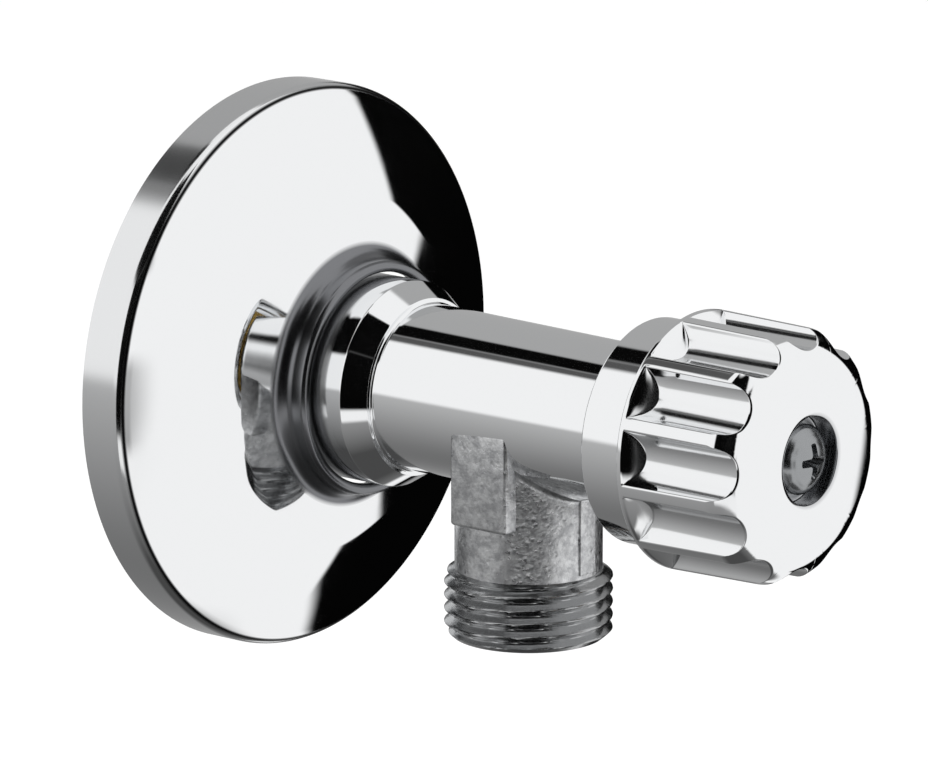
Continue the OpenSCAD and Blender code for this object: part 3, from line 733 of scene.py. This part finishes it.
class VALVE_OT_wheel(bpy.types.Operator):
    """Die-cast handwheel: skirt, rear rim, round-bottomed flutes, domed front and screw recess"""

    bl_idname = "valve.wheel"
    bl_label = "Handwheel"

    def section(self, size, ridge):
        """Angles and radii round the fluted section: flute, rounded edge and ridge, mirrored and repeated."""
        blend = size.ridge_edge
        depth = size.flute_depth
        reach = ridge - blend
        turn = math.acos((reach ** 2 + depth ** 2 - (size.flute + blend) ** 2) / (2 * reach * depth))
        blend_centre = np.array([reach * math.cos(turn), reach * math.sin(turn)])
        flute_centre = np.array([depth, 0])
        away = blend_centre - flute_centre
        flute_end = math.atan2(away[1], -away[0])
        points = []
        for a in np.linspace(0, flute_end, 15):
            points.append(flute_centre + size.flute * np.array([-math.cos(a), math.sin(a)]))
        start = math.atan2(-away[1], -away[0])
        sweep = turn - start
        sweep -= 2 * math.pi * round(sweep / (2 * math.pi))
        for a in np.linspace(start, start + sweep, 8)[1:]:
            points.append(blend_centre + blend * np.array([math.cos(a), math.sin(a)]))
        half_pitch = math.pi / size.flutes
        for a in np.linspace(turn, half_pitch, 4)[1:]:
            points.append(ridge * np.array([math.cos(a), math.sin(a)]))
        angle = np.array([math.atan2(p[1], p[0]) for p in points])
        radius = np.array([np.linalg.norm(p) for p in points])
        one_angle = np.concatenate([-angle[::-1][1:-1], angle])
        one_radius = np.concatenate([radius[::-1][1:-1], radius])
        pitch = 2 * half_pitch
        all_angles = np.concatenate([one_angle + i * pitch for i in range(size.flutes)])
        return all_angles + size.flute_turn, np.tile(one_radius, size.flutes)

    def front_curve(self, size, dome_x, edge_r, edge_x):
        """The front as one curve by length: the rounded edge, then the dome in to the recess."""
        touch = math.atan2(edge_x - dome_x, edge_r)
        edge_points = arc((edge_r, edge_x), size.front_edge, 0, touch, 60)
        rim_angle = math.acos((size.recess + size.bevel) / size.dome)
        dome_points = arc((0, dome_x), size.dome, touch, rim_angle, 240)
        points = np.array(edge_points + dome_points[1:])
        length = np.concatenate([[0], np.cumsum(np.linalg.norm(np.diff(points, axis=0), axis=1))])
        return points, length

    def fluted_rows(self, size):
        """Rows of (distance, radius) per column from the rear rim over the flutes to the recess."""
        rear = WHEEL_HIGH.z
        angle, low = self.section(size, rear)
        high = self.section(size, size.front_radius)[1]
        flute_x = size.grip_start + size.rim
        dome_x = size.crown - size.dome
        edge_r = size.front_radius - size.front_edge
        edge_x = dome_x + math.sqrt((size.dome - size.front_edge) ** 2 - edge_r ** 2)
        step = rear - low
        outer = np.minimum(0.15 * MM, 0.45 * step)
        inner = np.minimum(0.12 * MM, 0.45 * step)
        wall = [
            (flute_x - outer + outer * np.sin(t), rear - outer + outer * np.cos(t))
            for t in np.linspace(0, math.pi / 2, 5)]
        wall += [(flute_x, (rear - outer) * (1 - t) + (low + inner) * t) for t in (0.33, 0.67)]
        wall += [
            (flute_x + inner - inner * np.cos(t), low + inner - inner * np.sin(t))
            for t in np.linspace(0, math.pi / 2, 6)]
        draft = math.tan(size.flute_end)
        rows = [(x + draft * (rear - r), r) for x, r in wall]
        blend = size.flute_edge
        centre_r = high - blend
        touch_dome = centre_r * size.dome / (size.dome - blend)
        touch_limit = edge_r * size.dome / (size.dome - size.front_edge)
        on_dome = touch_dome < touch_limit
        from_dome = dome_x + np.sqrt((size.dome - blend) ** 2 - centre_r ** 2)
        gap = np.clip((size.front_edge - blend) ** 2 - (centre_r - edge_r) ** 2, 0, None)
        centre_x = np.where(on_dome, from_dome, edge_x + np.sqrt(gap))
        run_start = rows[-1][0]
        for t in np.linspace(0, 1, 12)[1:]:
            rows.append((run_start * (1 - t) + centre_x * t, low * (1 - t) + high * t))
        end_angle = np.where(
            on_dome, np.arctan2(centre_x - dome_x, centre_r), np.arctan2(centre_x - edge_x, centre_r - edge_r))
        curve, length = self.front_curve(size, dome_x, edge_r, edge_x)
        touch_r = centre_r + blend * np.cos(end_angle)
        start_length = np.interp(-touch_r, -curve[:, 0], length)
        arc_length = blend * end_angle
        total = arc_length + length[-1] - start_length
        # Rows at lengths along the run-out edge and then along the front, closest together at the edge
        near = 1.9 * size.front_edge
        lengths = [near * t ** 1.8 for t in np.linspace(0, 1, 31)[1:]]
        lengths += [near * (1 - t) + total * t for t in np.linspace(0, 1, 15)[1:]]
        for done in lengths:
            turn = np.minimum(done, arc_length) / blend
            beyond = start_length + np.maximum(done - arc_length, 0)
            on_arc = done < arc_length
            x = np.where(on_arc, centre_x + blend * np.sin(turn), np.interp(beyond, length, curve[:, 1]))
            r = np.where(on_arc, centre_r + blend * np.cos(turn), np.interp(beyond, length, curve[:, 0]))
            rows.append((x, r))
        return angle, rows

    def execute(self, context):
        size = context.scene.valve_wheel
        angle, fluted = self.fluted_rows(size)
        rear = WHEEL_HIGH.z
        skirt_in = size.skirt - size.skirt_wall
        bay_start = size.grip_start - 0.7 * MM
        hub_start = INSERT_LOW.x - 0.6 * MM
        insert_r = 5.2 * MM
        hole = 2.3 * MM
        recess_x = WASHER_LOW.x
        dome_x = size.crown - size.dome
        rim_r = size.recess + size.bevel
        rim_x = dome_x + math.sqrt(size.dome ** 2 - rim_r ** 2)
        inside = rounded([
            (rim_r, rim_x, 0), (size.recess, rim_x - size.bevel_depth, 0.08 * MM),
            (size.recess, recess_x, 0.15 * MM), (hole, recess_x, 0.1 * MM),
            (hole, INSERT_HIGH.x, 0.05 * MM), (insert_r, INSERT_HIGH.x, 0.1 * MM),
            (insert_r, hub_start, 0.2 * MM), (size.hub, hub_start, 0.3 * MM),
            (size.hub, size.bay_end, 0.4 * MM), (size.bay, size.bay_end, 0.4 * MM),
            (size.bay, bay_start, 0.3 * MM), (skirt_in, bay_start, 0.2 * MM),
            (skirt_in, WHEEL_LOW.x, 0.15 * MM), (size.skirt, WHEEL_LOW.x, 0.2 * MM),
            (size.skirt, size.grip_start, 0.1 * MM), (rear, size.grip_start, 0.18 * MM),
            (rear, size.grip_start + 0.4 * MM, 0)])
        rows = fluted + [(x, np.full(len(angle), r)) for r, x in inside[1:]]
        mesh = bmesh.new()
        add_grid(mesh, [about_valve(r, angle, x) for x, r in rows], closed=True)
        finish_piece(
            "wheel_casting", mesh, [bpy.data.materials["Chromium plating, cast wheel"]],
            "wheel", ["handwheel"])
        return {"FINISHED"}


class VALVE_OT_screw(bpy.types.Operator):
    """Domed pan head screw with a tapered cross recess"""

    bl_idname = "valve.screw"
    bl_label = "Handwheel screw"

    def cross(self, size):
        """The outline of the cross recess: four arms with rounded corners between them."""
        reach, half = size.cross / 2, size.arm / 2
        tip, neck = half / 2, reach - 0.3 * half
        centre = half + size.corner
        quarter = [(neck, -half), (reach, -tip), (reach, tip), (neck, half)]
        for a in np.linspace(1.5 * math.pi, math.pi, 6):
            quarter.append((centre + size.corner * math.cos(a), centre + size.corner * math.sin(a)))
        points = []
        for k in range(4):
            c, s = round(math.cos(k * math.pi / 2)), round(math.sin(k * math.pi / 2))
            points += [(a * c - b * s, a * s + b * c) for a, b in quarter]
        return points

    def execute(self, context):
        size = context.scene.valve_screw
        top = SCREW_HIGH.x
        seat = WASHER_HIGH.x
        ball = (size.head ** 2 + size.crown ** 2) / (2 * size.crown)
        side = top - size.crown
        dome = arc((0, top - ball), ball, math.pi / 2, math.acos((size.head - 0.3 * MM) / ball), 10)
        outline = dome + rounded([
            dome[-1] + (0,), (size.head, side - 0.15 * MM, 0.3 * MM), (size.head, seat, 0.15 * MM),
            (size.shank, seat, 0.1 * MM), (size.shank, SCREW_LOW.x + 0.5 * MM, 0.1 * MM),
            (size.shank - 0.5 * MM, SCREW_LOW.x, 0.05 * MM), (0, SCREW_LOW.x, 0)])[1:]
        mesh = bmesh.new()
        add_grid(mesh, turned(outline, 96))
        material = bpy.data.materials["Steel, zinc plated"]
        piece = finish_piece("screw_head", mesh, [material], "wheel", ["handwheel_screw"])
        cutter_mesh = bmesh.new()
        rings = []
        mouth, floor = (1.1, top + 0.2 * MM), (0.4, top - size.depth)
        for scale, x in (mouth, floor):
            rings.append([cutter_mesh.verts.new((x, scale * a, scale * b)) for a, b in self.cross(size)])
        for k in range(len(rings[0])):
            cutter_mesh.faces.new((rings[0][k - 1], rings[0][k], rings[1][k], rings[1][k - 1]))
        for ring in rings:
            cutter_mesh.faces.new(ring)
        data = bpy.data.meshes.new("cross")
        bmesh.ops.recalc_face_normals(cutter_mesh, faces=cutter_mesh.faces)
        cutter_mesh.to_mesh(data)
        cutter_mesh.free()
        cutter = bpy.data.objects.new("cross", data)
        context.scene.collection.objects.link(cutter)
        cut = piece.modifiers.new("cross", "BOOLEAN")
        cut.operation = "DIFFERENCE"
        cut.object = cutter
        cut.solver = "EXACT"
        cut.use_self = True
        context.view_layer.update()
        evaluated = piece.evaluated_get(context.evaluated_depsgraph_get())
        result = bpy.data.meshes.new_from_object(evaluated)
        piece.modifiers.clear()
        piece.data = result
        result.set_sharp_from_angle(angle=math.radians(30))
        bpy.data.objects.remove(cutter)
        return {"FINISHED"}


class VALVE_OT_inner(bpy.types.Operator):
    """Finishes for the headwork, washers and seals, which keep their own solids"""

    bl_idname = "valve.inner"
    bl_label = "Headwork and seals"

    def execute(self, context):
        finishes = {
            "Brass, turned": ["bonnet", "spindle", "valve_carrier", "washer_plate", "washer_screw"],
            "EPDM rubber, moulded": ["spindle_orings", "seat_washer"],
            "Acetal, moulded": ["thrust_washer", "handwheel_insert"],
            "Spring steel, bright": ["spindle_clip", "lock_washer"],
            "Vulcanised fibre, pressed": ["bonnet_gasket"]}
        for finish, nodes in finishes.items():
            for node in nodes:
                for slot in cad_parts[node].material_slots:
                    slot.material = bpy.data.materials[finish]
        return {"FINISHED"}


class VALVE_OT_materials(bpy.types.Operator):
    """Makes every finish once"""

    bl_idname = "valve.materials"
    bl_label = "Finishes"

    def execute(self, context):
        plated("Chromium plating, pressed flange", FLANGE_ZONES)
        plated("Chromium plating, turned body", BODY_ZONES)
        plated("Chromium plating, cast wheel", WHEEL_ZONES)
        cast_chrome()
        threaded_chrome()
        turned_metal("Brass, turned", "#A28548", 0.18, 0.32, 0.12)
        turned_metal("Steel, zinc plated", "#9C9EA0", 0.16, 0.3, 0.3)
        turned_metal("Spring steel, bright", "#9A9C9E", 0.2, 0.3, 0.2)
        moulded("EPDM rubber, moulded", ("#141414", "#1D1D1D"), 0.65, 0.4, 0.03)
        moulded("Acetal, moulded", ("#E6E6E0", "#DCDCD4"), 0.42, 0.6, 0.02)
        moulded("Vulcanised fibre, pressed", ("#7E3023", "#8F3A2A"), 0.7, 0.25, 0.04)
        return {"FINISHED"}


class VALVE_OT_stage(bpy.types.Operator):
    """Pale floor, soft light, dark and grey cards that only reflections see, and the camera"""

    bl_idname = "valve.stage"
    bl_label = "Stage"

    def world(self, context, stage):
        """White to the camera and through glass, the studio to reflections, a plain soft light elsewhere."""
        world = bpy.data.worlds.new("Studio")
        context.scene.world = world
        world.use_nodes = True
        tree = world.node_tree
        tree.nodes.clear()
        path = add(tree, "LightPath").outputs
        clear = add(tree, "Math", (path["Is Camera Ray"], path["Is Transmission Ray"]), operation="MAXIMUM")
        light = add(tree, "Background", {"Color": (1, 1, 1, 1), "Strength": stage.ambient})
        white = add(tree, "Background", {"Color": (1, 1, 1, 1), "Strength": 1.0})
        studio = add(tree, "Background", {"Color": self.studio(tree), "Strength": 1.0})
        plain = add(tree, "MixShader", (clear, light, white))
        mix = add(tree, "MixShader", (path["Is Glossy Ray"], plain, studio))
        add(tree, "OutputWorld", {"Surface": mix})

    def window(self, tree, across, up, outline):
        """1 inside a card's outline, 0 outside it."""
        centre, half, low, high, soft = outline
        shifted = add(tree, "Math", (across, -centre), operation="ADD")
        wrapped = add(tree, "Math", (shifted, 180, -180), operation="WRAP")
        beside = add(tree, "Math", (wrapped,), operation="ABSOLUTE")
        inside = 1.0
        for value, edge, reach in ((up, low, soft / 2), (up, high, -soft / 2), (beside, half, -soft / 2)):
            step = add(tree, "MapRange", (value, edge - reach, edge + reach), interpolation_type="SMOOTHSTEP")
            inside = add(tree, "Math", (inside, step), operation="MULTIPLY")
        return inside

    def studio(self, tree):
        """White all round, a grey table below the horizon and the cards, by direction from the valve."""
        ray = add(tree, "SeparateXYZ", (add(tree, "TexCoord").outputs["Generated"],)).outputs
        front = add(tree, "Math", (ray["Y"], -1), operation="MULTIPLY")
        turn = add(tree, "Math", (ray["X"], front), operation="ARCTAN2")
        across = add(tree, "Math", (turn,), operation="DEGREES")
        rise = add(tree, "Math", (ray["Z"],), operation="ARCSINE")
        up = add(tree, "Math", (rise,), operation="DEGREES")
        below = add(tree, "MapRange", (up, *TABLE_FOOT), interpolation_type="SMOOTHSTEP")
        on_table = add(tree, "Math", (self.window(tree, across, up, TABLE), below), operation="MAXIMUM")
        grey = add(tree, "MapRange", (up, *TABLE_SHADE))
        shade = add(tree, "Mix", {"Factor": on_table, "A": STUDIO_WHITE, "B": grey}, data_type="RGBA")
        for colour, outline in STUDIO_CARDS.values():
            inside = self.window(tree, across, up, outline)
            shade = add(tree, "Mix", {"Factor": inside, "A": shade, "B": linear(colour)}, data_type="RGBA")
        return shade

    def floor(self, context, stage):
        """A large matt floor under the valve, with a grain of 5 mm."""
        mesh = bmesh.new()
        bmesh.ops.create_grid(mesh, x_segments=1, y_segments=1, size=3)
        for vert in mesh.verts:
            vert.co.z = -stage.floor_drop
        data = bpy.data.meshes.new("floor")
        mesh.to_mesh(data)
        mesh.free()
        floor = bpy.data.objects.new("floor", data)
        context.scene.collection.objects.link(floor)
        tree, place = new_material("Matt floor paint")
        grain = add(tree, "TexNoise", {"Vector": place, "Scale": 0.2, "Detail": 2})
        rough = add(tree, "MapRange", (grain, 0, 1, 0.4, 0.6))
        paint = add(tree, "BsdfDiffuse", {"Color": tuple(stage.floor_colour) + (1,), "Roughness": rough})
        seen = add(tree, "LightPath").outputs["Is Camera Ray"]
        lift = add(tree, "Math", (seen, stage.floor_lift), operation="MULTIPLY")
        glow = add(tree, "Emission", {"Color": (1, 1, 1, 1), "Strength": lift})
        add(tree, "OutputMaterial", {"Surface": add(tree, "AddShader", (paint, glow))})
        data.materials.append(bpy.data.materials["Matt floor paint"])
        floor.visible_glossy = False

    def lamp(self, context):
        """One large soft lamp above and to the left of the camera."""
        data = bpy.data.lights.new("softbox", "AREA")
        data.shape = "SQUARE"
        data.size = LAMP_SIZE
        data.energy = LAMP_WATTS
        lamp = bpy.data.objects.new("softbox", data)
        lamp.location = LAMP_PLACE
        lamp.rotation_mode = "QUATERNION"
        lamp.rotation_quaternion = (Vector(LAMP_AIM) - lamp.location).to_track_quat("-Z", "Y")
        lamp.visible_glossy = False
        context.scene.collection.objects.link(lamp)

    def camera(self, context, stage):
        """The photograph's viewpoint."""
        a, e = stage.azimuth, stage.elevation
        back = Vector((math.sin(a) * math.cos(e), -math.cos(a) * math.cos(e), math.sin(e)))
        data = bpy.data.cameras.new("camera")
        data.lens = stage.lens
        data.sensor_width = 36
        data.clip_start = 0.01
        data.clip_end = 20
        camera = bpy.data.objects.new("camera", data)
        camera.location = Vector(stage.aim) + back * stage.distance
        camera.rotation_mode = "QUATERNION"
        camera.rotation_quaternion = (-back).to_track_quat("-Z", "Y")
        context.scene.collection.objects.link(camera)
        context.scene.camera = camera

    def execute(self, context):
        stage = context.scene.valve_stage
        self.world(context, stage)
        self.floor(context, stage)
        self.lamp(context)
        self.camera(context, stage)
        context.scene.view_settings.view_transform = "Standard"
        return {"FINISHED"}


class VALVE_PT_sidebar(bpy.types.Panel):
    """Lists the valve's steps and sizes"""

    bl_idname = "VALVE_PT_sidebar"
    bl_label = "Angle stop valve"
    bl_space_type = "VIEW_3D"
    bl_region_type = "UI"
    bl_category = "Valve"

    def draw(self, context):
        for step in STEPS:
            self.layout.operator(step.bl_idname)
        for name in GROUPS:
            box = self.layout.box()
            settings = getattr(context.scene, name)
            box.label(text=settings.bl_rna.name)
            for key in settings.bl_rna.properties.keys():
                if key not in ("rna_type", "name"):
                    box.prop(settings, key)


GROUPS = {
    "valve_flange": FlangeSizes,
    "valve_body": BodySizes,
    "valve_wheel": WheelSizes,
    "valve_screw": ScrewSizes,
    "valve_stage": StageSettings,
}
STEPS = [
    VALVE_OT_materials, VALVE_OT_flange, VALVE_OT_body, VALVE_OT_wheel, VALVE_OT_screw, VALVE_OT_inner,
    VALVE_OT_stage,
]


def register():
    for group in GROUPS.values():
        bpy.utils.register_class(group)
    for step in STEPS:
        bpy.utils.register_class(step)
    bpy.utils.register_class(VALVE_PT_sidebar)
    for name, group in GROUPS.items():
        setattr(bpy.types.Scene, name, PointerProperty(type=group))


def unregister():
    for name in GROUPS:
        delattr(bpy.types.Scene, name)
    bpy.utils.unregister_class(VALVE_PT_sidebar)
    for step in reversed(STEPS):
        bpy.utils.unregister_class(step)
    for group in reversed(list(GROUPS.values())):
        bpy.utils.unregister_class(group)


def main():
    register()
    bpy.ops.valve.materials()
    bpy.ops.valve.flange()
    bpy.ops.valve.body()
    bpy.ops.valve.wheel()
    bpy.ops.valve.screw()
    bpy.ops.valve.inner()
    bpy.ops.valve.stage()


if __name__ == "__main__":
    main()
